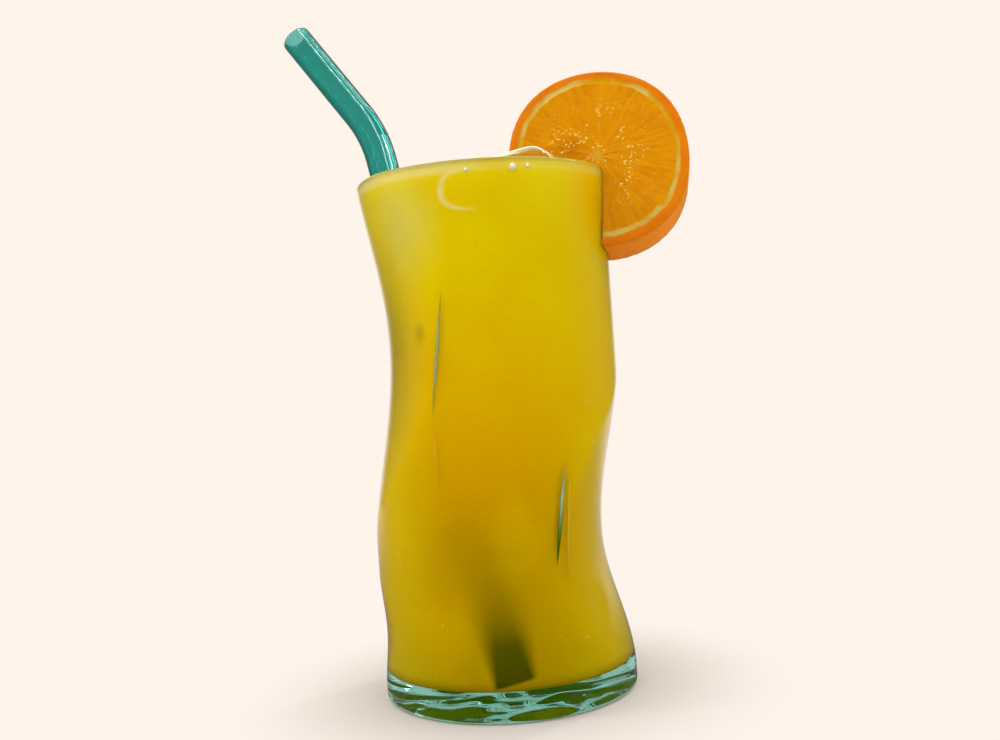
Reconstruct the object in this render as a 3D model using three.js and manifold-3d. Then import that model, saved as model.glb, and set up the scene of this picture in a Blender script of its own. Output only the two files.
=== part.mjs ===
// A tall pressed tumbler of orange juice, with a bent glass straw,
// an orange slice slit onto its rim and an ice cube afloat in it.
// Millimetres, +Z up. The origin is the middle of the tumbler's underside,
// and the viewer stands on the -Y side.

import * as THREE from 'three';
import { mergeVertices } from 'three/addons/utils/BufferGeometryUtils.js';
import { RoundedBoxGeometry } from 'three/addons/geometries/RoundedBoxGeometry.js';
import Module from 'manifold-3d';

const wasm = await Module();
wasm.setup();

// Clearance between neighbouring pieces, and the radius under which a corner counts as on the axis
const GAP = 0.3;
const ON_AXIS = 1e-6;

// Tumbler: a round body with a thick floor and a rounded lip
const GLASS_HEIGHT = 152.3;
const BODY_RADIUS = 37.5;
const WALL = 2.8;
const FLOOR = 8;
const FOOT_EDGE = 1.8;
const FLOOR_CORNER = 4;
const INNER_RADIUS = BODY_RADIUS - WALL;
const CORNER_TOP = FLOOR + FLOOR_CORNER;
const GLASS_SIDES = 56;
const WALL_STEPS = 20;
const ARC_STEPS = 4;

// Long dents pressed into the wall: middle height, depth, reach down and up, and the side in degrees
const DENTS = [
  { height: 103, depth: 7.7, below: 66, above: 66, side: 180 },
  { height: 46, depth: 7.6, below: 42, above: 55, side: 0 },
  { height: 20, depth: 1.2, below: 18, above: 18, side: 180 },
];
// Degrees that a dent turns round the body for each millimetre up
const DENT_SLANT = 0.25;
// Radius of the flattened wall in a dent, and how soft its creases are for its depth
const PANEL_RADIUS = 48.3;
const CREASE_SOFTNESS = 0.12;
// Inside this radius the dents fade out towards the axis
const FULL_DENT_RADIUS = 33;

// Juice
const JUICE_LEVEL = 149.4;

// Bent glass straw: the middle of its foot, the corner its two straight arms aim at, and its tip
const STRAW_FOOT = new THREE.Vector3(0.3, -28.8, 10.5);
const STRAW_CORNER = new THREE.Vector3(-30.9, 13.2, 170.7);
const STRAW_TIP = new THREE.Vector3(-55.2, 24.2, 205.8);
const STRAW_RADIUS = 4.75;
const STRAW_BORE = 3.4;
const STRAW_BEND = 45.6;
const STRAW_BEND_STEPS = 8;
const STRAW_SIDES = 16;

// Orange slice: a thick, slightly oval wheel that leans back on the rim
const SLICE_MIDDLE = new THREE.Vector3(36.8, -0.3, 153.8);
const SLICE_FRONT_RADIUS = 27.9;
const SLICE_BACK_RADIUS = 27.5;
const SLICE_THICKNESS = 13;
const SLICE_EDGE = 0.9;
const SLICE_YAW = -9.2;
const SLICE_LEAN = 18.6;
const SLICE_SIDES = 48;
const SLICE_OVAL = 0.043;
const SLICE_OVAL_TURN = 100;

// Ice cube, melted round, afloat between the front wall and the slice
const ICE_SIZE = new THREE.Vector3(33, 19, 13);
const ICE_ROUND = 6;
const ICE_MIDDLE = new THREE.Vector3(5.2, -19.3, 148.6);
const ICE_TILT = -9;
const ICE_STEPS = 3;

const radians = THREE.MathUtils.degToRad;

function finish(color, roughness, opacity = 1) {
  return new THREE.MeshStandardMaterial({
    color,
    roughness,
    metalness: 0,
    opacity,
    transparent: opacity < 1,
  });
}

// Only positions, with the shared corners merged
function welded(geometry) {
  const bare = geometry.clone();
  bare.deleteAttribute('normal');
  bare.deleteAttribute('uv');
  return mergeVertices(bare);
}

function solidOf(geometry) {
  const mesh = welded(geometry);
  return new wasm.Manifold(new wasm.Mesh({
    numProp: 3,
    vertProperties: new Float32Array(mesh.attributes.position.array),
    triVerts: new Uint32Array(mesh.index.array),
  }));
}

function geometryOf(solid) {
  const mesh = solid.getMesh();
  const geometry = new THREE.BufferGeometry();
  geometry.setAttribute('position', new THREE.BufferAttribute(mesh.vertProperties, 3));
  geometry.setIndex(new THREE.BufferAttribute(mesh.triVerts, 1));
  geometry.computeVertexNormals();
  return geometry;
}

function arc(centreX, centreY, radius, fromDegrees, toDegrees, steps) {
  const points = [];
  for (let i = 0; i <= steps; i++) {
    const angle = radians(THREE.MathUtils.lerp(fromDegrees, toDegrees, i / steps));
    points.push(new THREE.Vector2(centreX + radius * Math.cos(angle), centreY + radius * Math.sin(angle)));
  }
  return points;
}

// Points strictly between two heights, at one radius
function rise(radius, fromHeight, toHeight, steps) {
  const points = [];
  for (let i = 1; i < steps; i++) {
    points.push(new THREE.Vector2(radius, THREE.MathUtils.lerp(fromHeight, toHeight, i / steps)));
  }
  return points;
}

// A turned solid standing on Z, from a profile that starts and ends on the axis
function turned(profile, sides) {
  return new THREE.LatheGeometry(profile, sides).rotateX(Math.PI / 2);
}

// Moves each corner along its own radius; reshape gives the new radius
function reshapeRound(geometry, reshape) {
  const position = geometry.attributes.position;
  for (let i = 0; i < position.count; i++) {
    const x = position.getX(i);
    const y = position.getY(i);
    const radius = Math.hypot(x, y);
    if (radius < ON_AXIS) continue;
    const scale = reshape(radius, Math.atan2(y, x), position.getZ(i)) / radius;
    position.setXY(i, x * scale, y * scale);
  }
  return geometry;
}

function dentDepth(dent, height) {
  const reach = height < dent.height ? dent.below : dent.above;
  const along = Math.min(1, Math.abs(height - dent.height) / reach);
  return dent.depth * Math.cos(0.5 * Math.PI * along) ** 2;
}

// How far a dent pushes the wall inwards: down to a flatter arc, with a soft crease at both its sides
function dentPush(dent, azimuth, height) {
  const depth = dentDepth(dent, height);
  const turn = azimuth - radians(dent.side + DENT_SLANT * (height - dent.height));
  const offset = BODY_RADIUS - depth - PANEL_RADIUS;
  const panel = offset * Math.cos(turn) + Math.sqrt(PANEL_RADIUS ** 2 - (offset * Math.sin(turn)) ** 2);
  const inward = BODY_RADIUS - panel;
  return 0.5 * (inward + Math.hypot(inward, CREASE_SOFTNESS * depth));
}

function pressed(geometry) {
  return reshapeRound(geometry, (radius, azimuth, height) => {
    const push = DENTS.reduce((sum, dent) => sum + dentPush(dent, azimuth, height), 0);
    return radius - push * Math.min(1, radius / FULL_DENT_RADIUS);
  });
}

// The tumbler, with every face moved out by grow
function tumbler(grow = 0) {
  const outer = BODY_RADIUS + grow;
  const inner = INNER_RADIUS - grow;
  const lip = GLASS_HEIGHT - WALL / 2;
  const foot = FOOT_EDGE + grow;
  const corner = FLOOR_CORNER - grow;
  const profile = [
    new THREE.Vector2(0, -grow),
    ...arc(outer - foot, FOOT_EDGE, foot, -90, 0, ARC_STEPS),
    ...rise(outer, FOOT_EDGE, lip, WALL_STEPS),
    ...arc(BODY_RADIUS - WALL / 2, lip, WALL / 2 + grow, 0, 180, ARC_STEPS),
    ...rise(inner, lip, CORNER_TOP, WALL_STEPS - 1),
    ...arc(inner - corner, CORNER_TOP, corner, 0, -90, ARC_STEPS),
    new THREE.Vector2(0, FLOOR + grow),
  ];
  return pressed(turned(profile, GLASS_SIDES));
}

// What the tumbler holds before anything is stood in it: a plug from floor to level, cut by the grown tumbler
function fill() {
  const radius = BODY_RADIUS - WALL / 2;
  const bottom = FLOOR / 2;
  const profile = [
    new THREE.Vector2(0, bottom),
    new THREE.Vector2(radius, bottom),
    ...rise(radius, bottom, JUICE_LEVEL, WALL_STEPS),
    new THREE.Vector2(radius, JUICE_LEVEL),
    new THREE.Vector2(0, JUICE_LEVEL),
  ];
  const plug = pressed(turned(profile, GLASS_SIDES));
  return solidOf(plug).subtract(solidOf(tumbler(GAP)));
}

// Two straight arms and the arc between them; the steps are spent on the arc
class BentPath extends THREE.Curve {
  constructor(foot, corner, tip, bend, bendSteps) {
    super();
    this.lower = corner.clone().sub(foot).normalize();
    this.upper = tip.clone().sub(corner).normalize();
    this.angle = this.lower.angleTo(this.upper);
    const tangent = bend * Math.tan(this.angle / 2);
    this.foot = foot;
    this.tip = tip;
    this.start = corner.clone().addScaledVector(this.lower, -tangent);
    this.end = corner.clone().addScaledVector(this.upper, tangent);
    this.inward = this.upper.clone().addScaledVector(this.lower, -Math.cos(this.angle)).normalize();
    this.bend = bend;
    this.bendSteps = bendSteps;
  }

  getPoint(t, target = new THREE.Vector3()) {
    const station = t * (this.bendSteps + 2);
    if (station <= 1) return target.lerpVectors(this.foot, this.start, station);
    if (station >= this.bendSteps + 1) {
      return target.lerpVectors(this.end, this.tip, station - this.bendSteps - 1);
    }
    const angle = this.angle * (station - 1) / this.bendSteps;
    return target.copy(this.start)
      .addScaledVector(this.lower, this.bend * Math.sin(angle))
      .addScaledVector(this.inward, this.bend * (1 - Math.cos(angle)));
  }

  // Equal steps of the parameter, not of the length
  getUtoTmapping(u) {
    return u;
  }
}

// The straw, with every face moved out by grow
function bentTube(grow = 0) {
  const lower = STRAW_CORNER.clone().sub(STRAW_FOOT).normalize();
  const upper = STRAW_TIP.clone().sub(STRAW_CORNER).normalize();
  const foot = STRAW_FOOT.clone().addScaledVector(lower, -grow);
  const tip = STRAW_TIP.clone().addScaledVector(upper, grow);
  const ring = new THREE.Shape().absarc(0, 0, STRAW_RADIUS + grow, 0, 2 * Math.PI);
  ring.holes.push(new THREE.Path().absarc(0, 0, STRAW_BORE - grow, 0, 2 * Math.PI));
  return new THREE.ExtrudeGeometry(ring, {
    steps: STRAW_BEND_STEPS + 2,
    curveSegments: STRAW_SIDES / 2,
    extrudePath: new BentPath(foot, STRAW_CORNER, tip, STRAW_BEND, STRAW_BEND_STEPS),
  });
}

// The slice on its own axis, front face up, with every face moved out by grow
function wheel(grow = 0) {
  const half = SLICE_THICKNESS / 2;
  const edge = SLICE_EDGE + grow;
  const profile = [
    new THREE.Vector2(0, -half - grow),
    ...arc(SLICE_BACK_RADIUS - SLICE_EDGE, SLICE_EDGE - half, edge, -90, 0, ARC_STEPS),
    ...arc(SLICE_FRONT_RADIUS - SLICE_EDGE, half - SLICE_EDGE, edge, 0, 90, ARC_STEPS),
    new THREE.Vector2(0, half + grow),
  ];
  return reshapeRound(turned(profile, SLICE_SIDES), (radius, angle) => {
    return radius * (1 + SLICE_OVAL * Math.cos(2 * (angle - radians(SLICE_OVAL_TURN))));
  });
}

// The ice cube on its own axes, with every face moved out by grow
function cube(grow = 0) {
  const size = ICE_SIZE.clone().addScalar(2 * grow);
  return new RoundedBoxGeometry(size.x, size.y, size.z, ICE_STEPS, ICE_ROUND + grow);
}

function standAt(place, position, rotation) {
  place.position.copy(position);
  place.rotation.copy(rotation);
  place.updateMatrix();
}

const object = new THREE.Group();

const glass = new THREE.Mesh(tumbler(), finish(0xa6d3c4, 0.05, 0.45));
glass.name = 'glass';

const straw = new THREE.Mesh(bentTube(), finish(0x32907f, 0.06, 0.8));
straw.name = 'straw';

const ice = new THREE.Mesh(cube(), finish(0xeef4ea, 0.08, 0.6));
ice.name = 'ice_cube';
standAt(ice, ICE_MIDDLE, new THREE.Euler(0, radians(ICE_TILT), 0));

// The slit of the slice takes the wall of the tumbler
const slice = new THREE.Mesh(new THREE.BufferGeometry(), finish(0xe69000, 0.45));
slice.name = 'orange_slice';
standAt(slice, SLICE_MIDDLE, new THREE.Euler(radians(90 - SLICE_LEAN), 0, radians(SLICE_YAW), 'ZXY'));
const wallInSlice = tumbler(GAP).applyMatrix4(slice.matrix.clone().invert());
slice.geometry = geometryOf(solidOf(wheel()).subtract(solidOf(wallInSlice)));

// The juice stands round whatever is in it
const sunk = [
  bentTube(GAP),
  wheel(GAP).applyMatrix4(slice.matrix),
  cube(GAP).applyMatrix4(ice.matrix),
];
const liquid = sunk.reduce((rest, piece) => rest.subtract(solidOf(piece)), fill());
const juice = new THREE.Mesh(geometryOf(liquid), finish(0xd6b400, 0.3));
juice.name = 'juice';

object.add(glass, juice, straw, slice, ice);

export default object;
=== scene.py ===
import math
import bmesh
import bpy
import numpy as np
from mathutils import Matrix, Vector


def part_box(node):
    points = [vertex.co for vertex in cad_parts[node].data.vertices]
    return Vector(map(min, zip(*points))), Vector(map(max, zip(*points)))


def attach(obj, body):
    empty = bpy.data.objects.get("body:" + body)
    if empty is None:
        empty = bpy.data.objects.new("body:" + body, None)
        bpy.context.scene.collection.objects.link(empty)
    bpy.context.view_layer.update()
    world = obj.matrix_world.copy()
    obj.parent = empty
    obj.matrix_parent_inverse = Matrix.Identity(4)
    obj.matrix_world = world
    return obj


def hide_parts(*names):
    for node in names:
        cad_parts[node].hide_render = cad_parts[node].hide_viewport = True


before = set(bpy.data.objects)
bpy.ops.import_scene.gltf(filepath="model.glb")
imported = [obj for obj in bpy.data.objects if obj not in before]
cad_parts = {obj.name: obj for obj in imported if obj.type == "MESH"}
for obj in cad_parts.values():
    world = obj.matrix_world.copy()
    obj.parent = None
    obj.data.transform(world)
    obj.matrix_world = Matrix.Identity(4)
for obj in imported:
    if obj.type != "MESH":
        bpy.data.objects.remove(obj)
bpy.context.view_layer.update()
mm = 0.001
print("frame loaded, nodes:", ", ".join(sorted(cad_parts)))


# light that the finishes below are matched to

def screenColour(red, green, blue):
    # a colour as seen on screen, 0 to 255, to linear light
    linear = []
    for channel in (red, green, blue):
        c = channel / 255
        linear.append(c / 12.92 if c <= 0.04045 else ((c + 0.055) / 1.055) ** 2.4)
    return (*linear, 1.0)


studio = {
    "paper": screenColour(254, 244, 234),
    "paperLit": 0.46,                # share of the light that the paper throws back near the glass
    "paperGlow": 0.08,
    "shadowReach": (0.036, 0.088),    # beyond this the paper is even
    "mirrored": 0.15,                # how bright the room is in the glass's shine
    "mirroredBehind": 0.9,           # and the paper straight behind the glass, which the outline mirrors
    "behindHalf": (0.6, 0.25),       # half width of that part of the paper, from dim to bright
    "behindFrom": (0.05, 0.4),
    "strawBoxes": [                  # long streaks down the straw
        ((0.34, -0.52, 0.95), (-0.045, 0.02, 0.19), 0.14, 1.2, 14.0),
        ((0.75, -0.15, 0.75), (-0.045, 0.02, 0.19), 0.20, 0.5, 12.0),
    ],
    "halfWidth": 1.6,                # metres
    "front": -0.9,
    "back": 1.0,
    "sweep": 0.4,
    "top": 1.6,
    "ambient": 1.6,
    "wallLight": 1.05,               # mean light on an upright wall
    "softboxes": [                   # place, aim, width and height in metres, watts
        ((0.0, 0.15, 1.15), (0, 0, 0.08), 1.0, 1.0, 3.0),
        ((0.5, 0.45, 0.75), (0, 0, 0.15), 0.06, 0.7, 2.0),
        ((-0.6, -0.1, 0.7), (0, 0, 0.15), 0.10, 0.6, 1.5),
    ],
}


def paint(red, green, blue):
    # colour of a bare surface that the studio light shows as this screen colour
    return tuple(c / studio["ambient"] for c in screenColour(red, green, blue)[:3]) + (1.0,)


def behindGlass(red, green, blue):
    # colour of what lies against the tumbler's wall and is seen through it as this screen colour:
    # 1 / ior^2 of its light gets out at once, and the rest is thrown back onto it
    escape = 1 / tumbler["ior"] ** 2
    wanted = []
    for seen, passed in zip(screenColour(red, green, blue), tumbler["wallPass"]):
        lit = seen / (studio["wallLight"] * passed)
        wanted.append(lit / (escape + (1 - escape) * lit))
    return (*wanted, 1.0)


# small helpers

def freshMaterial(name):
    material = bpy.data.materials.new(name)
    material.use_nodes = True
    tree = material.node_tree
    tree.nodes.clear()
    return material, tree, tree.nodes.new("ShaderNodeOutputMaterial")


def put(tree, kind, values=None, **settings):
    # one shader node; a value is a plain number or colour, or a socket to link from
    node = tree.nodes.new("ShaderNode" + kind)
    for key, value in settings.items():
        setattr(node, key, value)
    for key, value in (values or {}).items():
        socket = node.inputs[key]
        if isinstance(value, bpy.types.NodeSocket):
            tree.links.new(value, socket)
        else:
            socket.default_value = value
    return node


def calc(tree, operation, *values):
    return put(tree, "Math", dict(enumerate(values)), operation=operation).outputs[0]


def vectorCalc(tree, operation, *values, result="Vector"):
    return put(tree, "VectorMath", dict(enumerate(values)), operation=operation).outputs[result]


def fade(tree, value, start, end):
    # 0 at start, 1 at end, smooth between; start may be the larger one
    return put(tree, "MapRange", {"Value": value, "From Min": start, "From Max": end},
               interpolation_type="SMOOTHSTEP").outputs[0]


def spread(tree, value, low, high):
    # a 0 to 1 value over another range
    return put(tree, "MapRange", {"Value": value, "To Min": low, "To Max": high}).outputs[0]


def tint(tree, amount, under, over):
    return put(tree, "Mix", {0: amount, 6: under, 7: over}, data_type="RGBA").outputs[2]


def ramp(tree, amount, stops):
    node = put(tree, "ValToRGB", {0: amount})
    while len(node.color_ramp.elements) < len(stops):
        node.color_ramp.elements.new(0.5)
    for element, (position, colour) in zip(node.color_ramp.elements, stops):
        element.position = position
        element.color = colour
    return node.outputs[0]


def noise(tree, place, size, detail=2.0, seed=0.0):
    # soft cloud, 0 to 1, with humps of about this size in mm
    node = put(tree, "TexNoise", {"Vector": place, "W": seed, "Scale": 1 / (size * mm), "Detail": detail},
               noise_dimensions="4D")
    return node.outputs[0]


def blob(tree, place, centre, reach):
    # 1 at a point of the object, fading to 0 at the reach along each axis, in mm
    offset = vectorCalc(tree, "SUBTRACT", place, tuple(c * mm for c in centre))
    scaled = vectorCalc(tree, "DIVIDE", offset, tuple(r * mm for r in reach))
    return fade(tree, vectorCalc(tree, "LENGTH", scaled, result="Value"), 1.0, 0.0)


def newPiece(name, points, faces, material):
    # points in millimetres; normals are turned outward
    mesh = bpy.data.meshes.new(name)
    mesh.from_pydata((np.asarray(points, float) * mm).tolist(), [], faces)
    solid = bmesh.new()
    solid.from_mesh(mesh)
    bmesh.ops.recalc_face_normals(solid, faces=solid.faces)
    solid.to_mesh(mesh)
    solid.free()
    mesh.polygons.foreach_set("use_smooth", [True] * len(mesh.polygons))
    mesh.materials.append(material)
    mesh.update()
    piece = bpy.data.objects.new(name, mesh)
    bpy.context.scene.collection.objects.link(piece)
    return piece


def mark(piece, name, values):
    # one number at each point, for the piece's material
    piece.data.attributes.new(name, "FLOAT", "POINT").data.foreach_set("value", np.ravel(values))


def hangOn(piece, node):
    # the piece stands for a node of the frame
    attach(piece, "root")
    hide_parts(node)


def addTo(piece):
    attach(piece, "root")


def gridFaces(rows, columns, wrapRows=False):
    # quads of a grid of points whose columns close on themselves
    faces = []
    for row in range(rows if wrapRows else rows - 1):
        here, there = row * columns, (row + 1) % rows * columns
        for column in range(columns):
            after = (column + 1) % columns
            faces.append((here + column, here + after, there + after, there + column))
    return faces


def turned(profile, sides, reshape=None):
    # points and faces of a turned solid; its profile of (radius, height) starts and ends on the axis
    rings = np.array(profile[1:-1], float)
    turn = np.arange(sides) * 2 * math.pi / sides
    radius = np.repeat(rings[:, :1], sides, axis=1)
    height = np.repeat(rings[:, 1:], sides, axis=1)
    azimuth = np.repeat(turn[None], len(rings), axis=0)
    if reshape:
        radius, height = reshape(radius, azimuth, height)
    grid = np.stack([radius * np.cos(azimuth), radius * np.sin(azimuth), height], axis=2)
    ends = [[0, 0, height[0].mean()], [0, 0, height[-1].mean()]]
    points = np.vstack([grid.reshape(-1, 3), ends])
    faces = gridFaces(len(rings), sides)
    first, last = len(points) - 2, len(points) - 1
    top = (len(rings) - 1) * sides
    for side in range(sides):
        after = (side + 1) % sides
        faces.append((first, after, side))
        faces.append((last, top + side, top + after))
    return points, faces


def arc(centre, radius, start, end, steps):
    # points of an arc in a profile, degrees
    turns = np.radians(np.linspace(start, end, steps + 1))
    return [(centre[0] + radius * math.cos(t), centre[1] + radius * math.sin(t)) for t in turns]


def rise(radius, start, end, steps):
    # points strictly between two heights
    return [(radius, z) for z in np.linspace(start, end, steps + 1)[1:-1]]


def across(height, start, end, steps):
    # points of a flat stretch of a profile, both ends included
    return [(r, height) for r in np.linspace(start, end, steps)]


def waves(x, y, length, seed, count=14):
    # smooth seeded unevenness over a plane, about -1 to 1, with humps about this long
    rng = np.random.default_rng(seed)
    total = np.zeros_like(x)
    for _ in range(count):
        way, phase = rng.uniform(0, 2 * math.pi, 2)
        pitch = 2 * math.pi / (length * rng.uniform(0.7, 1.6))
        total += np.sin(pitch * (x * math.cos(way) + y * math.sin(way)) + phase)
    return total / (1.6 * math.sqrt(count / 2))


# tumbler: the same pressed body as the frame's glass, with fine walls

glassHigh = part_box("glass")[1]
tumbler = {
    "height": glassHigh.z / mm,
    "radius": glassHigh.y / mm,      # the front and back are not dented
    "wall": 2.8,
    "floor": 8.0,
    "footEdge": 1.8,
    "floorCorner": 4.0,
    "dents": [                       # middle height, depth, reach down and up, side in degrees
        (103, 7.7, 66, 66, 180),
        (46, 7.6, 42, 55, 0),
        (20, 1.2, 18, 18, 180),
    ],
    "dentSlant": 0.25,               # degrees round the body for each mm up
    "panelRadius": 48.3,
    "creaseSoftness": 0.12,
    "fullDentRadius": 33.0,
    "sides": 224,
    "wallSteps": 110,
    "absorbColour": (0.12, 0.63, 0.55, 1.0),
    "absorbDensity": 25.0,
    "ior": 1.5,
    "specular": 0.05,                # share of the plain mirror shine that is left, face on
    "wallPass": (0.68, 0.92, 0.90),  # share of light left by two passes of the wall
    "ripple": 0.8,                   # unevenness of the underside
    "rippleLength": 16.0,
    "fineRipple": 0.2,
    "fineRippleLength": 6.0,
    "seed": 5,
}
tumbler["innerRadius"] = tumbler["radius"] - tumbler["wall"]


def dentPush(azimuth, height):
    push = np.zeros_like(azimuth)
    body, panel = tumbler["radius"], tumbler["panelRadius"]
    for middle, depth, below, above, side in tumbler["dents"]:
        reach = np.where(height < middle, below, above)
        along = np.minimum(1, np.abs(height - middle) / reach)
        deep = depth * np.cos(0.5 * math.pi * along) ** 2
        turn = azimuth - np.radians(side + tumbler["dentSlant"] * (height - middle))
        offset = body - deep - panel
        wall = offset * np.cos(turn) + np.sqrt(panel ** 2 - (offset * np.sin(turn)) ** 2)
        inward = body - wall
        push += 0.5 * (inward + np.hypot(inward, tumbler["creaseSoftness"] * deep))
    return push


def pressed(radius, azimuth, height):
    share = np.minimum(1, radius / tumbler["fullDentRadius"])
    return radius - dentPush(azimuth, height) * share, height


def clearGlass(name, ior, roughness, absorbColour, absorbDensity, specular):
    material, tree, out = freshMaterial(name)
    surface = put(tree, "BsdfPrincipled", {
        "Base Color": (1, 1, 1, 1), "Roughness": roughness, "IOR": ior,
        "Transmission Weight": 1.0, "Specular Tint": (specular, specular, specular, 1.0)})
    volume = put(tree, "VolumeAbsorption", {"Color": absorbColour, "Density": absorbDensity})
    tree.links.new(surface.outputs[0], out.inputs["Surface"])
    tree.links.new(volume.outputs[0], out.inputs["Volume"])
    return material


def buildTumbler():
    t = tumbler
    lip = t["height"] - t["wall"] / 2
    cornerTop = t["floor"] + t["floorCorner"]
    footFlat = t["radius"] - t["footEdge"]
    floorFlat = t["innerRadius"] - t["floorCorner"]
    profile = [
        (0, 0),
        *across(0, 1, footFlat - 0.6, 40),
        *arc((footFlat, t["footEdge"]), t["footEdge"], -90, 0, 8),
        *rise(t["radius"], t["footEdge"], lip, t["wallSteps"]),
        *arc((t["radius"] - t["wall"] / 2, lip), t["wall"] / 2, 0, 180, 14),
        *rise(t["innerRadius"], lip, cornerTop, t["wallSteps"] - 8),
        *arc((floorFlat, cornerTop), t["floorCorner"], 0, -90, 8),
        *across(t["floor"], floorFlat - 1.5, 1, 16),
        (0, t["floor"]),
    ]

    def handmade(radius, azimuth, height):
        # the dents, and an uneven hollow under the foot
        dented, height = pressed(radius, azimuth, height)
        hollow = (height < 0.01) * np.clip((footFlat - 1.5 - radius) / 4, 0, 1)
        x, y = dented * np.cos(azimuth), dented * np.sin(azimuth)
        fine = t["fineRipple"] * waves(x, y, t["fineRippleLength"], t["seed"] + 1)
        hump = waves(x, y, t["rippleLength"], t["seed"]) + fine
        return dented, height + hollow * t["ripple"] * np.maximum(0, 1 + hump)

    glass = clearGlass("paleTealGlass", t["ior"], 0.0, t["absorbColour"], t["absorbDensity"], t["specular"])
    piece = newPiece("tumbler", *turned(profile, t["sides"], handmade), glass)
    hangOn(piece, "glass")


# straw: a bent tube with fire-polished lips

straw = {
    "foot": (0.3, -28.8, 10.5),
    "corner": (-30.9, 13.2, 170.7),
    "tip": (-55.2, 24.2, 205.8),
    "radius": 4.75,
    "bore": 3.4,
    "bend": 45.6,
    "sides": 64,
    "bendSteps": 28,
    "armSteps": 24,
    "absorbColour": (0.05, 0.67, 0.63, 1.0),
    "absorbDensity": 1350.0,
    "ior": 1.5,
    "specular": 0.35,
}


def strawPath():
    # points and directions along the middle of the straw, from foot to tip
    foot, corner, tip = (np.array(straw[k]) for k in ("foot", "corner", "tip"))
    lower = (corner - foot) / np.linalg.norm(corner - foot)
    upper = (tip - corner) / np.linalg.norm(tip - corner)
    angle = math.acos(lower @ upper)
    tangent = straw["bend"] * math.tan(angle / 2)
    start, end = corner - lower * tangent, corner + upper * tangent
    inward = upper - lower * math.cos(angle)
    inward /= np.linalg.norm(inward)
    steps = np.linspace(0, 1, straw["armSteps"] + 1)
    path = [(foot + (start - foot) * t, lower) for t in steps[:-1]]
    for a in np.linspace(0, angle, straw["bendSteps"] + 1):
        point = start + straw["bend"] * (lower * math.sin(a) + inward * (1 - math.cos(a)))
        path.append((point, lower * math.cos(a) + inward * math.sin(a)))
    path += [(end + (tip - end) * t, upper) for t in steps[1:]]
    return path, np.cross(lower, inward)


def buildStraw():
    path, sideways = strawPath()
    middle = (straw["radius"] + straw["bore"]) / 2
    lip = (straw["radius"] - straw["bore"]) / 2
    (foot, footWay), (tip, tipWay) = path[0], path[-1]
    body = path[1:-1]
    half = np.radians(np.linspace(0, 180, 11))
    stations = [(p, way, straw["radius"]) for p, way in body]        # point, direction, radius
    stations += [(tip + tipWay * lip * (math.sin(a) - 1), tipWay, middle + lip * math.cos(a))
                 for a in half]
    stations += [(p, way, straw["bore"]) for p, way in reversed(body)]
    stations += [(foot - footWay * lip * (math.sin(a) - 1), footWay, middle - lip * math.cos(a))
                 for a in half]
    turn = np.arange(straw["sides"]) * 2 * math.pi / straw["sides"]
    rings = []
    for point, way, radius in stations:
        upward = np.cross(sideways, way)
        rings.append(point + radius * (np.outer(np.cos(turn), upward) + np.outer(np.sin(turn), sideways)))
    faces = gridFaces(len(stations), straw["sides"], wrapRows=True)
    glass = clearGlass("tealStrawGlass", straw["ior"], 0.0, straw["absorbColour"],
                       straw["absorbDensity"], straw["specular"])
    piece = newPiece("bentStraw", np.vstack(rings), faces, glass)
    hangOn(piece, "straw")
    return piece


# juice: fills the tumbler and reaches a hair into its wall

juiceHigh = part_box("juice")[1]
juice = {
    "level": juiceHigh.z / mm,
    "intoWall": 0.2,
    "filmRise": 2.4,                 # the wet film above the level
    "meniscus": 3.0,
    "sides": 224,
    "wallSteps": 110,
    "frontColours": [                # height, then the colour seen down the middle of the front; darker toward the bottom, which is painted shade over the juice's own colour
        (8, 146, 124, 0), (25, 160, 130, 0), (45, 172, 134, 0), (60, 188, 136, 0), (73, 204, 145, 0),
        (88, 215, 157, 0), (104, 218, 170, 0), (118, 221, 186, 0), (135, 219, 192, 0), (148, 219, 193, 3),
    ],
    "sideColours": [                 # and toward the sides, with the same painted shade lower down
        (8, 168, 150, 0), (40, 190, 159, 0), (70, 199, 166, 0), (90, 212, 173, 0),
        (110, 217, 183, 0), (130, 217, 188, 0), (148, 217, 193, 12),
    ],
    "frontAt": (-2.0, -34.0),
    "frontReach": (8.0, 32.0),
    "film": (223, 207, 98),
    "filmStart": 148.2,
    "patchesAndShade": {                      # patches painted on the juice, and their strength: sunk ice and slice seen through, a smudge, painted shade and the straw's painted shadow
        "haze": 1.0, "sunkSlice": 1.0, "shade": 1.0, "dusk": 0.6, "smudge": 0.8,
    },
    "haze": (203, 191, 62),          # sunk ice shows pale at the left
    "hazeAt": ((-23, -28, 136), (17, 16, 21)),
    "sunkSlice": (238, 168, 0),      # the slice shows through at the right, painted brighter than it shows: painted light against the slice's shade on the juice
    "sunkSliceAt": ((31, -18, 141), (17, 19, 24)),
    "shade": (150, 140, 0),          # the pressed side turns from the light
    "shadeAt": ((-26, -13, 101), (13, 25, 40)),
    "dusk": (150, 118, 0),           # painted shadow of the straw on the juice behind it
    "duskAt": ((-11, -31, 45), (14, 14, 24)),
    "smudge": (150, 128, 0),
    "smudgeAt": ((-18.0, -28.5, 106.5), (2.6, 7, 4.5)),
    "ghost": (40, 53, 0),            # the straw's foot against the front wall
    "ghostHalf": 5.6,
    "ghostShift": 0.8,
    "ghostLean": 0.85,
    "ghostHeight": 50.0,
    "ghostFade": [                   # share of that height, darkness
        (0.0, 0.95), (0.2, 0.88), (0.36, 0.52), (0.6, 0.22), (1.0, 0.0),
    ],
    "iceEdgeHighlight": (228, 212, 112),       # painted highlight on the outline of the ice against the wall
    "iceEdgeHighlightAt": (-1.0, 144.4),
    "iceEdgeHighlightReach": (9.0, 5.4),
    "iceEdgeHighlightPower": 2.6,              # 2 would be an oval, more is squarer
    "fleck": (228, 198, 60),
}


def heightRamp(tree, height, stops):
    return ramp(tree, height, [(z / juice["level"], behindGlass(*seen)) for z, *seen in stops])


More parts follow.
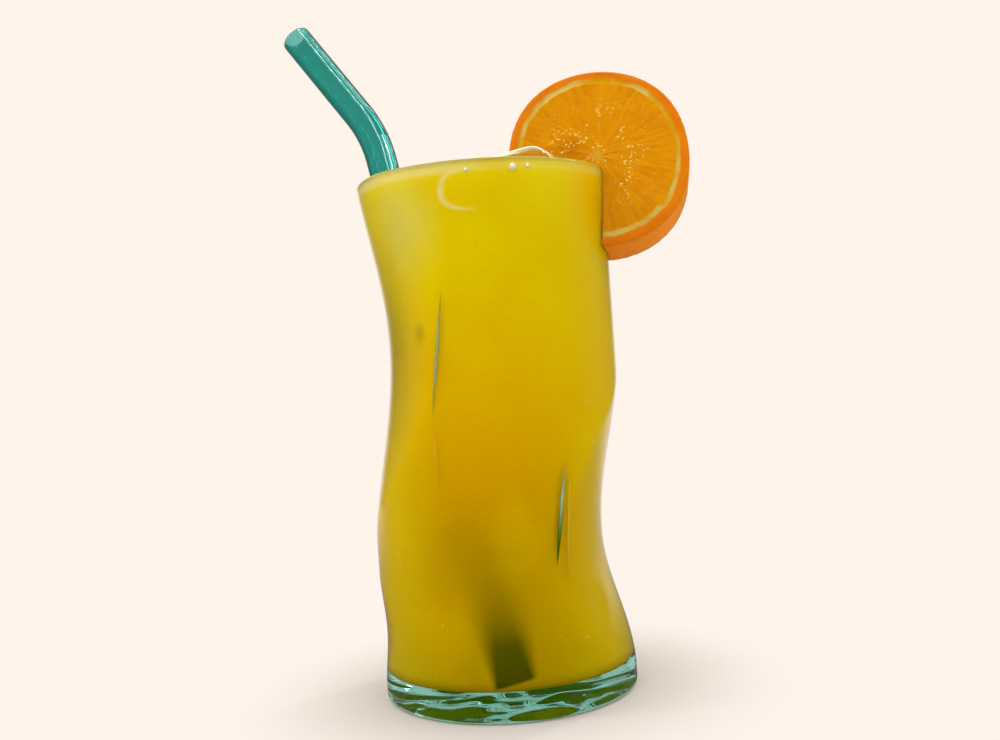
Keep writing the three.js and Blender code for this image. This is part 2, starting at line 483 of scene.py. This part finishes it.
def juiceColour(tree, place):
    j = juice
    x, y, z = put(tree, "SeparateXYZ", {0: place}).outputs
    height = calc(tree, "DIVIDE", z, j["level"] * mm)
    frontX, frontY = j["frontAt"]
    fromFront = vectorCalc(tree, "SUBTRACT", place, (frontX * mm, frontY * mm, 0))
    fromFront = vectorCalc(tree, "MULTIPLY", fromFront, (1, 1, 0))
    away = vectorCalc(tree, "LENGTH", fromFront, result="Value")
    near, far = j["frontReach"]
    colour = tint(tree, fade(tree, away, near * mm, far * mm),
                  heightRamp(tree, height, j["frontColours"]), heightRamp(tree, height, j["sideColours"]))
    for key, strength in j["patchesAndShade"].items():
        amount = calc(tree, "MULTIPLY", blob(tree, place, *j[key + "At"]), strength)
        colour = tint(tree, amount, colour, behindGlass(*j[key]))

    # cloudiness and fine pulp
    cloud = fade(tree, noise(tree, place, 22, 3.0), 0.45, 0.70)
    colour = tint(tree, calc(tree, "MULTIPLY", cloud, 0.22), colour, behindGlass(226, 192, 0))
    deep = fade(tree, noise(tree, place, 26, 2.0, 7.0), 0.48, 0.72)
    colour = tint(tree, calc(tree, "MULTIPLY", deep, 0.22), colour, behindGlass(200, 138, 0))
    pulp = fade(tree, noise(tree, place, 2.4, 1.0, 3.0), 0.70, 0.78)
    colour = tint(tree, calc(tree, "MULTIPLY", pulp, 0.35), colour, behindGlass(*j["fleck"]))

    # the straw's foot shows dark near the wall and fades as the straw leans back
    footX, _, footZ = straw["foot"]
    cornerX, _, cornerZ = straw["corner"]
    slope = j["ghostLean"] * (cornerX - footX) / (cornerZ - footZ)
    up = calc(tree, "SUBTRACT", z, footZ * mm)
    middle = calc(tree, "MULTIPLY_ADD", up, slope, j["ghostShift"] * mm)
    sideways = calc(tree, "SUBTRACT", x, middle)
    soft = calc(tree, "MAXIMUM", calc(tree, "MULTIPLY_ADD", up, 0.2, 1.0 * mm), 1.0 * mm)
    half = j["ghostHalf"] * mm
    band = fade(tree, calc(tree, "ABSOLUTE", sideways),
                calc(tree, "ADD", soft, half), calc(tree, "SUBTRACT", half, soft))
    depth = ramp(tree, calc(tree, "DIVIDE", up, j["ghostHeight"] * mm),
                 [(share, (dark, dark, dark, 1)) for share, dark in j["ghostFade"]])
    foot = fade(tree, calc(tree, "MULTIPLY_ADD", sideways, -0.25, up), -0.8 * mm, 0.4 * mm)
    front = fade(tree, y, -15 * mm, -25 * mm)
    dark = calc(tree, "MULTIPLY", calc(tree, "MULTIPLY", band, depth), calc(tree, "MULTIPLY", foot, front))
    colour = tint(tree, dark, colour, behindGlass(*j["ghost"]))

    # painted highlight along the outline of the ice's end
    (ringX, ringZ), (reachX, reachZ) = j["iceEdgeHighlightAt"], j["iceEdgeHighlightReach"]
    wide = calc(tree, "DIVIDE", calc(tree, "SUBTRACT", x, ringX * mm), reachX * mm)
    tall = calc(tree, "DIVIDE", calc(tree, "SUBTRACT", z, ringZ * mm), reachZ * mm)
    ring = calc(tree, "ADD", *[calc(tree, "POWER", calc(tree, "ABSOLUTE", part), j["iceEdgeHighlightPower"])
                               for part in (wide, tall)])
    ring = calc(tree, "SQRT", ring)
    line = fade(tree, calc(tree, "ABSOLUTE", calc(tree, "SUBTRACT", ring, 1.0)), 0.2, 0.0)
    line = calc(tree, "MULTIPLY", line, calc(tree, "MULTIPLY", fade(tree, wide, 0.15, -0.4), front))
    line = calc(tree, "MULTIPLY", line, spread(tree, noise(tree, place, 5, 1.0, 8.0), -0.3, 1.5))
    colour = tint(tree, line, colour, behindGlass(*j["iceEdgeHighlight"]))

    # the wet film at the lip, palest at the left
    wet = fade(tree, z, j["filmStart"] * mm, (j["filmStart"] + 1.8) * mm)
    paler = spread(tree, fade(tree, x, 6 * mm, -12 * mm), 0.3, 0.95)
    patchy = spread(tree, noise(tree, place, 6, 2.0, 17.0), 0.5, 1.3)
    wet = calc(tree, "MULTIPLY", wet, calc(tree, "MULTIPLY", paler, patchy))
    return tint(tree, wet, colour, behindGlass(*j["film"]))


def juiceBody():
    material, tree, out = freshMaterial("cloudyJuice")
    place = put(tree, "TexCoord").outputs["Object"]
    surface = put(tree, "BsdfPrincipled", {
        "Base Color": juiceColour(tree, place), "Roughness": 0.6, "Specular IOR Level": 0.0})
    tree.links.new(surface.outputs[0], out.inputs["Surface"])
    return material


def juiceTop():
    material, tree, out = freshMaterial("juiceSurface")
    place = put(tree, "TexCoord").outputs["Object"]
    cloud = noise(tree, place, 9, 3.0, 2.0)
    colour = tint(tree, fade(tree, cloud, 0.35, 0.65), paint(222, 196, 0), paint(230, 208, 30))
    ripple = put(tree, "Bump", {
        "Height": noise(tree, place, 14, 1.0, 5.0), "Distance": 0.3 * mm, "Strength": 0.6})
    surface = put(tree, "BsdfPrincipled", {
        "Base Color": colour, "Roughness": 0.08, "IOR": 1.35, "Normal": ripple.outputs[0]})
    tree.links.new(surface.outputs[0], out.inputs["Surface"])
    return material


def juiceFloor():
    # the juice on the thick floor; seen at a low angle through the glass it mirrors
    material, tree, out = freshMaterial("juiceOnFloor")
    body = put(tree, "BsdfPrincipled", {
        "Base Color": behindGlass(160, 192, 8), "Roughness": 0.6, "Specular IOR Level": 0.0})
    mirror = put(tree, "BsdfGlossy", {"Color": (1, 1, 1, 1), "Roughness": 0.02})
    angle = put(tree, "Fresnel", {"IOR": 0.9})
    mix = put(tree, "MixShader", {0: angle.outputs[0], 1: body.outputs[0], 2: mirror.outputs[0]})
    tree.links.new(mix.outputs[0], out.inputs["Surface"])
    return material


def buildJuice():
    t, j = tumbler, juice
    radius = t["innerRadius"] + j["intoWall"]
    bottom = t["floor"] - j["intoWall"]
    corner = t["floorCorner"] + j["intoWall"]
    filmTop = j["level"] + j["filmRise"]
    floorRings = across(bottom, 1, radius - corner - 1.5, 12)
    wallRings = [
        *arc((radius - corner, bottom + corner), corner, -90, 0, 8),
        *rise(radius, bottom + corner, filmTop, j["wallSteps"]),
        (radius + 0.15, filmTop),
    ]
    dip = np.linspace(0, 1, 11)[1:]
    topRings = [(radius - 0.35 - j["meniscus"] * d, j["level"] + j["filmRise"] * (1 - d) ** 3) for d in dip]
    topRings += across(j["level"], topRings[-1][0] - 3, 2, 8)
    profile = [(0, bottom), *floorRings, *wallRings, *topRings, (0, j["level"])]
    points, faces = turned(profile, j["sides"], pressed)
    piece = newPiece("juiceFill", points, faces, juiceBody())
    piece.data.materials.append(juiceTop())
    piece.data.materials.append(juiceFloor())
    bands = (len(profile) - 3) * j["sides"]          # faces between rings come first
    slots = np.zeros(len(faces), int)
    row = np.arange(bands) // j["sides"]
    slots[:bands][row < len(floorRings)] = 2
    slots[:bands][row >= len(floorRings) + len(wallRings) - 1] = 1
    slots[bands::2] = 2                              # then the fans at the middle, floor and top by turns
    slots[bands + 1::2] = 1
    piece.data.polygons.foreach_set("material_index", slots)
    hangOn(piece, "juice")


# creases of the dents: thin strips in the wall painted with the thick glass's own colour, and two pale lines
# that are painted highlights

creases = {
    "left": {"low": (84, -27.0), "high": (117.5, -19.0), "width": 1.05, "name": "leftCrease"},
    "leftLine": {"low": (65.0, -26.3), "high": (82.0, -26.9), "width": 0.5, "name": "leftGlint"},
    "right": {"low": (41.6, 23.0), "high": (68.7, 29.8), "width": 1.45, "name": "rightCrease"},
    "rightLine": {"low": (36.0, 28.5), "high": (68.0, 32.0), "width": 0.7, "name": "rightGlint"},
    "steps": 40,
    "sunk": 1.1,                     # under the outer face
    "halfThick": 0.25,
}


def creaseMaterial(name, stops):
    material, tree, out = freshMaterial(name)
    place = put(tree, "TexCoord").outputs["Generated"]
    height = put(tree, "SeparateXYZ", {0: place}).outputs[2]
    colour = ramp(tree, height, stops)
    surface = put(tree, "BsdfPrincipled", {"Base Color": colour, "Roughness": 0.4, "Specular IOR Level": 0.0})
    tree.links.new(surface.outputs[0], out.inputs["Surface"])
    return material


def buildCrease(c, material):
    # a thin spindle that follows the wall, from its low end to its high end
    (lowZ, lowTurn), (highZ, highTurn) = c["low"], c["high"]
    share = np.linspace(0, 1, creases["steps"] + 1)
    height = lowZ + (highZ - lowZ) * share
    middle = np.radians(270 + lowTurn + (highTurn - lowTurn) * share)
    half = 0.5 * c["width"] * np.sin(math.pi * share) ** 0.7 + 0.02
    rings = []
    thick = creases["halfThick"]
    for side, depth in ((-1, 0.0), (0, -thick), (1, 0.0), (0, thick)):
        azimuth = middle + side * half / tumbler["radius"]
        outer = pressed(np.full_like(height, tumbler["radius"]), azimuth, height)[0]
        radius = outer - creases["sunk"] - depth
        rings.append(np.stack([radius * np.cos(azimuth), radius * np.sin(azimuth), height], axis=1))
    points = np.stack(rings, axis=1).reshape(-1, 3)
    faces = gridFaces(len(share), 4) + [(3, 2, 1, 0), tuple(len(points) - 4 + i for i in range(4))]
    piece = newPiece(c["name"], points, faces, material)
    addTo(piece)


# orange slice: flesh of juice cells between thin skins, pith and peel

orange = {
    "middle": (36.8, -0.3, 153.8),
    "yaw": -9.2,
    "lean": 18.6,
    "thickness": 13.0,
    "frontRadius": 27.9,
    "backRadius": 27.5,
    "edge": 0.9,
    "oval": 0.043,
    "ovalTurn": 100.0,
    "square": 0.012,                 # a little squarer than round
    "larger": 0.004,
    "fleshRadius": 23.8,
    "pithRadius": 25.2,
    "core": 1.7,
    "segments": 10,
    "cellsEach": 46,
    "cellWidth": 0.75,
    "cellLength": 2.6,
    "cellRelief": 0.17,
    "skin": 0.4,                     # between segments
    "sides": 360,
    "faceRings": 74,
    "seed": 11,
    "slotFoot": 100.0,
    "slotSides": 128,
    "slotGap": 0.05,                 # clearance round the tumbler's wall
}


def segmentTurns(rng):
    turns = np.linspace(0, 2 * math.pi, orange["segments"], endpoint=False)
    return np.sort((turns + rng.uniform(-0.12, 0.12, len(turns)) + 0.3) % (2 * math.pi))


def fleshCells(radius, azimuth, rng):
    # for each point of a face: distance to its own cell, to the next cell, that cell's tone, and the skins
    o = orange
    turns = segmentTurns(rng)
    seedRadius, seedTurn = [], []
    for start, end in zip(turns, np.append(turns[1:], turns[0] + 2 * math.pi)):
        seedRadius.append(o["fleshRadius"] * np.sqrt(rng.uniform(0.015, 0.98, o["cellsEach"])))
        seedTurn.append(rng.uniform(start + 0.03, end - 0.03, o["cellsEach"]))
    seedRadius, seedTurn = np.concatenate(seedRadius), np.concatenate(seedTurn)
    tones = rng.uniform(0, 1, len(seedRadius))
    flatRadius, flatTurn = radius.ravel(), azimuth.ravel()
    near, after, tone = (np.empty_like(flatRadius) for _ in range(3))
    for at in range(0, len(flatRadius), 4000):
        part = slice(at, at + 4000)
        turnGap = (flatTurn[part, None] - seedTurn + math.pi) % (2 * math.pi) - math.pi
        wide = turnGap * (flatRadius[part, None] + seedRadius) / 2 / o["cellWidth"]
        long = (flatRadius[part, None] - seedRadius) / o["cellLength"]
        distance = np.hypot(wide, long)
        order = np.argpartition(distance, 1, axis=1)[:, :2]
        two = np.take_along_axis(distance, order, axis=1)
        near[part], after[part] = two.min(axis=1), two.max(axis=1)
        tone[part] = tones[order[np.arange(len(two)), two.argmin(axis=1)]]
    gap = np.abs((azimuth[..., None] - turns + math.pi) % (2 * math.pi) - math.pi).min(axis=-1)
    skin = np.exp(-(gap * radius / o["skin"]) ** 2)
    return near.reshape(radius.shape), after.reshape(radius.shape), tone.reshape(radius.shape), skin


def orangeMaterial():
    o = orange
    material, tree, out = freshMaterial("freshOrange")
    place = put(tree, "TexCoord").outputs["Object"]
    reach = put(tree, "Attribute", attribute_name="reach").outputs["Fac"]
    tone = put(tree, "Attribute", attribute_name="tone").outputs["Fac"]
    gap = put(tree, "Attribute", attribute_name="gap").outputs["Fac"]
    skin = put(tree, "Attribute", attribute_name="skin").outputs["Fac"]
    peelSide = put(tree, "Attribute", attribute_name="peel").outputs["Fac"]

    flesh = tint(tree, tone, paint(220, 136, 0), paint(228, 150, 0))
    flesh = tint(tree, fade(tree, gap, 0.35, 0.0), flesh, paint(228, 148, 4))
    patch = blob(tree, place, (-8.5, 3.5, 6.5), (8, 6, 12))
    flesh = tint(tree, calc(tree, "MULTIPLY", patch, 0.85), flesh, paint(196, 112, 0))
    flesh = tint(tree, calc(tree, "MULTIPLY", skin, 0.3), flesh, paint(232, 168, 20))

    # painted glints of the wet cells, short bent strokes that are thickest round the core
    contour = calc(tree, "ABSOLUTE", calc(tree, "SUBTRACT", noise(tree, place, 1.1, 1.0, 14.0), 0.5))
    broken = fade(tree, noise(tree, place, 1.0, 0.0, 15.0), 0.52, 0.62)
    cluster = fade(tree, noise(tree, place, 7, 1.0, 19.0), 0.44, 0.54)
    glint = calc(tree, "MULTIPLY", fade(tree, contour, 0.07, 0.02), broken)
    glint = calc(tree, "MULTIPLY", glint, calc(tree, "MULTIPLY", cluster, fade(tree, reach, 22.0, 7.0)))
    flesh = tint(tree, glint, flesh, paint(255, 222, 112))
    flesh = tint(tree, fade(tree, reach, o["core"] + 0.6, o["core"] - 0.8), flesh, paint(222, 168, 40))

    pithPatch = fade(tree, noise(tree, place, 7, 2.0, 4.0), 0.35, 0.65)
    pith = tint(tree, pithPatch, paint(220, 158, 0), paint(220, 192, 88))
    peel = tint(tree, noise(tree, place, 6, 2.0, 6.0), paint(226, 112, 0), paint(238, 140, 0))
    # the peel's outer side is painted brighter than the face's rind: painted light that makes up for the
    # shade on its underside
    peel = tint(tree, peelSide, peel, (0.72, 0.215, 0.0, 1.0))
    pores = put(tree, "TexVoronoi", {"Vector": place, "Scale": 1 / (1.5 * mm)}).outputs["Distance"]
    poreShare = calc(tree, "MULTIPLY", fade(tree, pores, 0.25, 0.05), peelSide)
    peel = tint(tree, poreShare, peel, paint(240, 120, 0))

    uneven = spread(tree, noise(tree, place, 6, 2.0, 9.0), -1.0, 1.0)
    edge = calc(tree, "ADD", reach, uneven)
    colour = tint(tree, fade(tree, edge, o["fleshRadius"] - 0.35, o["fleshRadius"] + 0.25), flesh, pith)
    colour = tint(tree, fade(tree, edge, o["pithRadius"] - 0.5, o["pithRadius"] + 0.5), colour, peel)

    dimple = put(tree, "Bump", {
        "Height": fade(tree, pores, 0.0, 0.35), "Distance": 0.12 * mm, "Strength": peelSide})
    inFlesh = fade(tree, edge, o["fleshRadius"] + 0.2, o["fleshRadius"] - 0.6)
    surface = put(tree, "BsdfPrincipled", {
        "Base Color": colour, "Roughness": spread(tree, inFlesh, 0.42, 0.16), "IOR": 1.36,
        "Specular IOR Level": 0.06, "Normal": dimple.outputs[0]})
    tree.links.new(surface.outputs[0], out.inputs["Surface"])
    return material


def buildSlice():
    o = orange
    half = o["thickness"] / 2
    rng = np.random.default_rng(o["seed"])
    back = across(-half, 0.6, o["backRadius"] - o["edge"] - 0.3, o["faceRings"])
    front = across(half, o["frontRadius"] - o["edge"] - 0.3, 0.6, o["faceRings"])
    side = [
        *arc((o["backRadius"] - o["edge"], o["edge"] - half), o["edge"], -90, 0, 6),
        *[(o["backRadius"] + (o["frontRadius"] - o["backRadius"]) * t, (2 * t - 1) * (half - o["edge"]))
          for t in np.linspace(0, 1, 18)[1:-1]],
        *arc((o["frontRadius"] - o["edge"], half - o["edge"]), o["edge"], 0, 90, 6),
    ]
    profile = [(0, -half), *back, *side, *front, (0, half)]
    count = o["faceRings"]
    marks = {}

    def fresh(radius, azimuth, height):
        near, after, tone, skin = (np.zeros_like(radius) for _ in range(4))
        gap = np.ones_like(radius)
        for rows in (slice(0, count), slice(-count, None)):
            near[rows], after[rows], tone[rows], skin[rows] = fleshCells(radius[rows], azimuth[rows], rng)
            gap[rows] = after[rows] - near[rows]
        onFace = np.zeros_like(radius)
        onFace[:count], onFace[-count:] = -1, 1
        inside = np.clip((o["fleshRadius"] - radius) / 0.8, 0, 1)
        swell = o["cellRelief"] * (np.sqrt(np.clip(1 - near ** 2 / 2.2, 0, 1)) - 0.55 + 0.5 * (tone - 0.5))
        relief = inside * (swell * (1 - skin) - 0.1 + 0.12 * skin)
        relief -= 0.25 * np.exp(-((radius - (o["fleshRadius"] + o["pithRadius"]) / 2) / 0.6) ** 2)
        relief += 0.15 * waves(radius * np.cos(azimuth), radius * np.sin(azimuth), 11, o["seed"] + 1)
        peel = (onFace == 0) * np.clip((half - np.abs(height)) / (2 * o["edge"]), 0, 1)
        marks.update(reach=radius.copy(), tone=tone, gap=gap, skin=skin, peel=peel)
        pits = waves(azimuth * 28, height, 2.2, o["seed"] + 2, 40) * (onFace == 0)
        oval = 1 + o["larger"] + o["oval"] * np.cos(2 * (azimuth - math.radians(o["ovalTurn"])))
        oval += o["square"] * np.cos(4 * azimuth - math.pi)
        return (radius + 0.04 * pits) * oval, height + onFace * relief

    points, faces = turned(profile, o["sides"], fresh)
    piece = newPiece("orangeSlice", points, faces, orangeMaterial())
    for name, values in marks.items():
        ends = [0.0, 0.0] if name in ("reach", "peel") else [0.5, 0.5]
        mark(piece, name, np.append(values.ravel(), ends))

    # the slit that the tumbler's wall goes into
    yaw = Matrix.Rotation(math.radians(o["yaw"]), 4, "Z")
    lean = Matrix.Rotation(math.radians(90 - o["lean"]), 4, "X")
    place = Matrix.Translation(Vector(o["middle"]) * mm) @ yaw @ lean
    outer, inner = tumbler["radius"] + o["slotGap"], tumbler["innerRadius"] - o["slotGap"]
    top = tumbler["height"] + o["slotGap"]
    low, bevel = o["slotFoot"], 0.6
    wall = [(inner, low), (outer, low), (outer, top - 1), (outer - bevel, top), (inner + bevel, top),
            (inner, top - 1)]
    turns = np.arange(o["slotSides"]) * 2 * math.pi / o["slotSides"]
    ring = [(r * math.cos(a), r * math.sin(a), z) for r, z in wall for a in turns]
    ringFaces = gridFaces(len(wall), len(turns), wrapRows=True)
    cutter = newPiece("wallCutter", ring, ringFaces, piece.data.materials[0])
    cutter.data.transform(place.inverted())
    slit = piece.modifiers.new("slit", "BOOLEAN")
    slit.object = cutter
    slit.operation = "DIFFERENCE"
    slit.solver = "EXACT"
    bpy.context.view_layer.objects.active = piece
    bpy.ops.object.modifier_apply(modifier="slit")
    bpy.data.objects.remove(cutter)
    piece.matrix_world = place
    hangOn(piece, "orange_slice")


# ice cube: a melted block of clear ice

ice = {
    "size": (33.0, 19.0, 13.0),
    "round": 6.0,
    "middle": (5.2, -19.3, 148.6),
    "tilt": -9.0,
    "ior": 1.31,
    "specular": 1.0,
    "steps": 36,
    "melt": 0.35,
    "edgeHighlight": (0.52, 0.86),           # how steeply the surface is seen before the painted white highlight comes in
    "seed": 21,
}


def meltingIce():
    # clear inside, with a painted white highlight along its edges
    material = clearGlass("clearIce", ice["ior"], 0.02, (0.9, 0.97, 1.0, 1.0), 4.0, ice["specular"])
    tree = material.node_tree
    out = next(n for n in tree.nodes if n.type == "OUTPUT_MATERIAL")
    clear = out.inputs["Surface"].links[0].from_socket
    # white mixed in where the surface is seen steeply: a painted highlight along the ice's edges
    skin = put(tree, "BsdfDiffuse", {"Color": paint(255, 252, 226)})
    facing = put(tree, "LayerWeight", {"Blend": 0.5}).outputs["Facing"]
    edge = fade(tree, facing, *ice["edgeHighlight"])
    mixed = put(tree, "MixShader", {0: edge, 1: clear, 2: skin.outputs[0]})
    tree.links.new(mixed.outputs[0], out.inputs["Surface"])
    return material


def buildIce():
    n = ice["steps"]
    half = np.array(ice["size"]) / 2
    cube = bmesh.new()
    bmesh.ops.create_cube(cube, size=2)
    bmesh.ops.subdivide_edges(cube, edges=cube.edges, cuts=n - 1, use_grid_fill=True)
    cube.verts.ensure_lookup_table()
    points = np.array([v.co for v in cube.verts]) * half
    faces = [tuple(v.index for v in f.verts) for f in cube.faces]
    cube.free()
    inner = half - ice["round"]
    near = np.clip(points, -inner, inner)
    way = points - near
    way /= np.linalg.norm(way, axis=1)[:, None]
    melt = waves(points[:, 0] + points[:, 2], points[:, 1] - 0.7 * points[:, 2], 12, ice["seed"])
    points = near + way * (ice["round"] + ice["melt"] * melt)[:, None]
    piece = newPiece("iceCube", points, faces, meltingIce())
    turn = Matrix.Rotation(math.radians(ice["tilt"]), 4, "Y")
    piece.matrix_world = Matrix.Translation(Vector(ice["middle"]) * mm) @ turn
    hangOn(piece, "ice_cube")


# bubbles: three large ones caught at the front of the lip, and fine froth round the surface

froth = {
    "caught": [                      # turn from front, height, radius
        (15.5, 149.6, 1.0), (22.3, 149.9, 0.6), (-4.8, 149.4, 0.65),
    ],
    "caughtAt": 35.2,
    "count": 70,
    "between": (30.5, 33.6),
    "sizes": (0.25, 0.75),
    "seed": 33,
}


def buildFroth():
    rng = np.random.default_rng(froth["seed"])
    spots = [(froth["caughtAt"], math.radians(270 + turn), z, r) for turn, z, r in froth["caught"]]
    for _ in range(froth["count"]):
        radius, turn = rng.uniform(*froth["between"]), rng.uniform(0, 2 * math.pi)
        push = float(dentPush(np.array([turn]), np.array([juice["level"]]))[0])
        size = rng.uniform(*froth["sizes"])
        lift = juice["filmRise"] * max(0, (radius - 31.5) / 3.2) ** 3
        spots.append((radius - push, turn, juice["level"] + lift + 0.3 * size, size))
    bubbles = bmesh.new()
    for radius, turn, height, size in spots:
        place = Matrix.Translation((radius * math.cos(turn), radius * math.sin(turn), height))
        bmesh.ops.create_icosphere(bubbles, subdivisions=2, radius=size, matrix=place)
    bubbles.verts.ensure_lookup_table()
    points = [v.co[:] for v in bubbles.verts]
    faces = [tuple(v.index for v in f.verts) for f in bubbles.faces]
    bubbles.free()
    material, tree, out = freshMaterial("paleFroth")
    place = put(tree, "TexCoord").outputs["Object"]
    patch = fade(tree, noise(tree, place, 3, 1.0), 0.5, 0.7)
    film = tint(tree, patch, (1.0, 1.0, 0.96, 1.0), (0.9, 0.86, 0.5, 1.0))
    surface = put(tree, "BsdfPrincipled", {"Base Color": film, "Roughness": 0.12, "IOR": 1.33})
    tree.links.new(surface.outputs[0], out.inputs["Surface"])
    addTo(newPiece("juiceFroth", points, faces, material))


# studio: pale sweep, soft lights and the photograph's camera

camera = {
    "place": (0.0, -330.0, 98.0),
    "pitch": -0.51,
    "roll": 4.0,
    "focal": 1096.0,                 # in pixels of that picture width
    "pictureWidth": 1000.0,
    "axisAt": 490.8,                 # pixel column of the optical axis
    "sensor": 36.0,
}


def mirroredOnly(tree):
    # 1 for what is seen in a shine, 0 for what is seen straight or through glass
    ray = put(tree, "LightPath").outputs
    return calc(tree, "GREATER_THAN", ray["Is Glossy Ray"], ray["Is Transmission Ray"])


def addSoftbox(name, place, aim, width, height, watts, only=None):
    light = bpy.data.lights.new(name, "AREA")
    light.shape = "RECTANGLE"
    light.size, light.size_y, light.energy = width, height, watts
    lamp = bpy.data.objects.new(name, light)
    lamp.location = place
    lamp.rotation_euler = (Vector(aim) - Vector(place)).to_track_quat("-Z", "Y").to_euler()
    bpy.context.scene.collection.objects.link(lamp)
    if only:
        lit = bpy.data.collections.new(name + "Lit")
        lit.objects.link(only)
        lamp.light_linking.receiver_collection = lit


def buildStudio():
    s = studio
    bend = s["back"] - s["sweep"]
    turns = np.radians(np.linspace(-90, 0, 25))
    curve = [(s["front"], 0.0)]
    curve += [(bend + s["sweep"] * math.cos(t), s["sweep"] + s["sweep"] * math.sin(t)) for t in turns]
    curve.append((s["back"], s["top"]))
    points = [(side * s["halfWidth"] / mm, y / mm, z / mm) for y, z in curve for side in (-1, 1)]
    faces = [(2 * i, 2 * i + 1, 2 * i + 3, 2 * i + 2) for i in range(len(curve) - 1)]
    material, tree, out = freshMaterial("creamPaper")
    place = put(tree, "TexCoord").outputs["Object"]
    lit = put(tree, "BsdfDiffuse", {"Color": tuple(c * s["paperLit"] for c in s["paper"][:3]) + (1.0,)})
    glow = put(tree, "Emission", {"Color": s["paper"], "Strength": s["paperGlow"]})
    near = put(tree, "AddShader", {0: lit.outputs[0], 1: glow.outputs[0]})
    x, y, _ = put(tree, "SeparateXYZ", {0: place}).outputs
    sideways = fade(tree, calc(tree, "ABSOLUTE", x), *s["behindHalf"])
    behind = calc(tree, "MULTIPLY", sideways, fade(tree, y, *s["behindFrom"]))
    shine = spread(tree, behind, s["mirrored"], s["mirroredBehind"])
    farStrength = spread(tree, mirroredOnly(tree), 1.0, shine)
    far = put(tree, "Emission", {"Color": s["paper"], "Strength": farStrength})
    away = fade(tree, vectorCalc(tree, "LENGTH", place, result="Value"), *s["shadowReach"])
    even = calc(tree, "MAXIMUM", away, mirroredOnly(tree))
    whole = put(tree, "MixShader", {0: even, 1: near.outputs[0], 2: far.outputs[0]})
    tree.links.new(whole.outputs[0], out.inputs["Surface"])
    newPiece("paperSweep", points, faces, material)

    world = bpy.data.worlds.new("softRoom")
    bpy.context.scene.world = world
    world.use_nodes = True
    sky = world.node_tree
    background = sky.nodes["Background"]
    background.inputs[0].default_value = (1, 1, 1, 1)
    strength = spread(sky, mirroredOnly(sky), s["ambient"], s["ambient"] * s["mirrored"])
    sky.links.new(strength, background.inputs[1])
    beyond = put(sky, "Background", {"Color": s["paper"], "Strength": 1.0})   # past the paper's edges
    seen = put(sky, "LightPath").outputs["Is Camera Ray"]
    room = put(sky, "MixShader", {0: seen, 1: background.outputs[0], 2: beyond.outputs[0]})
    sky.links.new(room.outputs[0], sky.nodes["World Output"].inputs["Surface"])

    for number, box in enumerate(s["softboxes"]):
        addSoftbox(f"softbox{number}", *box)


def buildCamera():
    c = camera
    lens = bpy.data.cameras.new("photoCamera")
    lens.sensor_width = c["sensor"]
    lens.lens = c["focal"] / c["pictureWidth"] * c["sensor"]
    lens.shift_x = 0.5 - c["axisAt"] / c["pictureWidth"]
    lens.clip_start = 0.01
    view = bpy.data.objects.new("photoCamera", lens)
    aim = Matrix.Rotation(math.radians(90 + c["pitch"]), 3, "X")
    aim = aim @ Matrix.Rotation(math.radians(-c["roll"]), 3, "Z")
    view.matrix_world = Matrix.Translation(Vector(c["place"]) * mm) @ aim.to_4x4()
    bpy.context.scene.collection.objects.link(view)
    bpy.context.scene.camera = view
    bpy.context.scene.view_settings.view_transform = "Standard"


buildCamera()
buildStudio()
print("studio ready")
buildTumbler()
buildJuice()
print("tumbler and juice ready")
tealSpindle = [
    (0.0, behindGlass(170, 158, 10)), (0.12, behindGlass(126, 140, 40)), (0.35, behindGlass(128, 160, 110)),
    (0.7, behindGlass(126, 158, 92)), (0.88, behindGlass(132, 150, 20)), (1.0, behindGlass(190, 172, 6))]
tealToGreen = [
    (0.0, behindGlass(60, 80, 0)), (0.22, behindGlass(52, 84, 4)), (0.42, behindGlass(84, 128, 60)),
    (0.65, behindGlass(136, 182, 130)), (0.86, behindGlass(126, 158, 66)), (1.0, behindGlass(180, 158, 8))]
# painted highlights for the two pale lines along the dents
paintedGlint = [
    (0.0, behindGlass(190, 150, 6)), (0.5, behindGlass(216, 182, 34)), (1.0, behindGlass(218, 184, 30)),
]
buildCrease(creases["left"], creaseMaterial("leftCreaseTeal", tealSpindle))
buildCrease(creases["right"], creaseMaterial("rightCreaseTeal", tealToGreen))
for side in ("leftLine", "rightLine"):
    buildCrease(creases[side], creaseMaterial(side + "Pale", paintedGlint))
bentStraw = buildStraw()
for number, box in enumerate(studio["strawBoxes"]):
    addSoftbox(f"strawBox{number}", *box, only=bentStraw)
buildSlice()
buildIce()
buildFroth()
print("garnish, straw and ice ready")
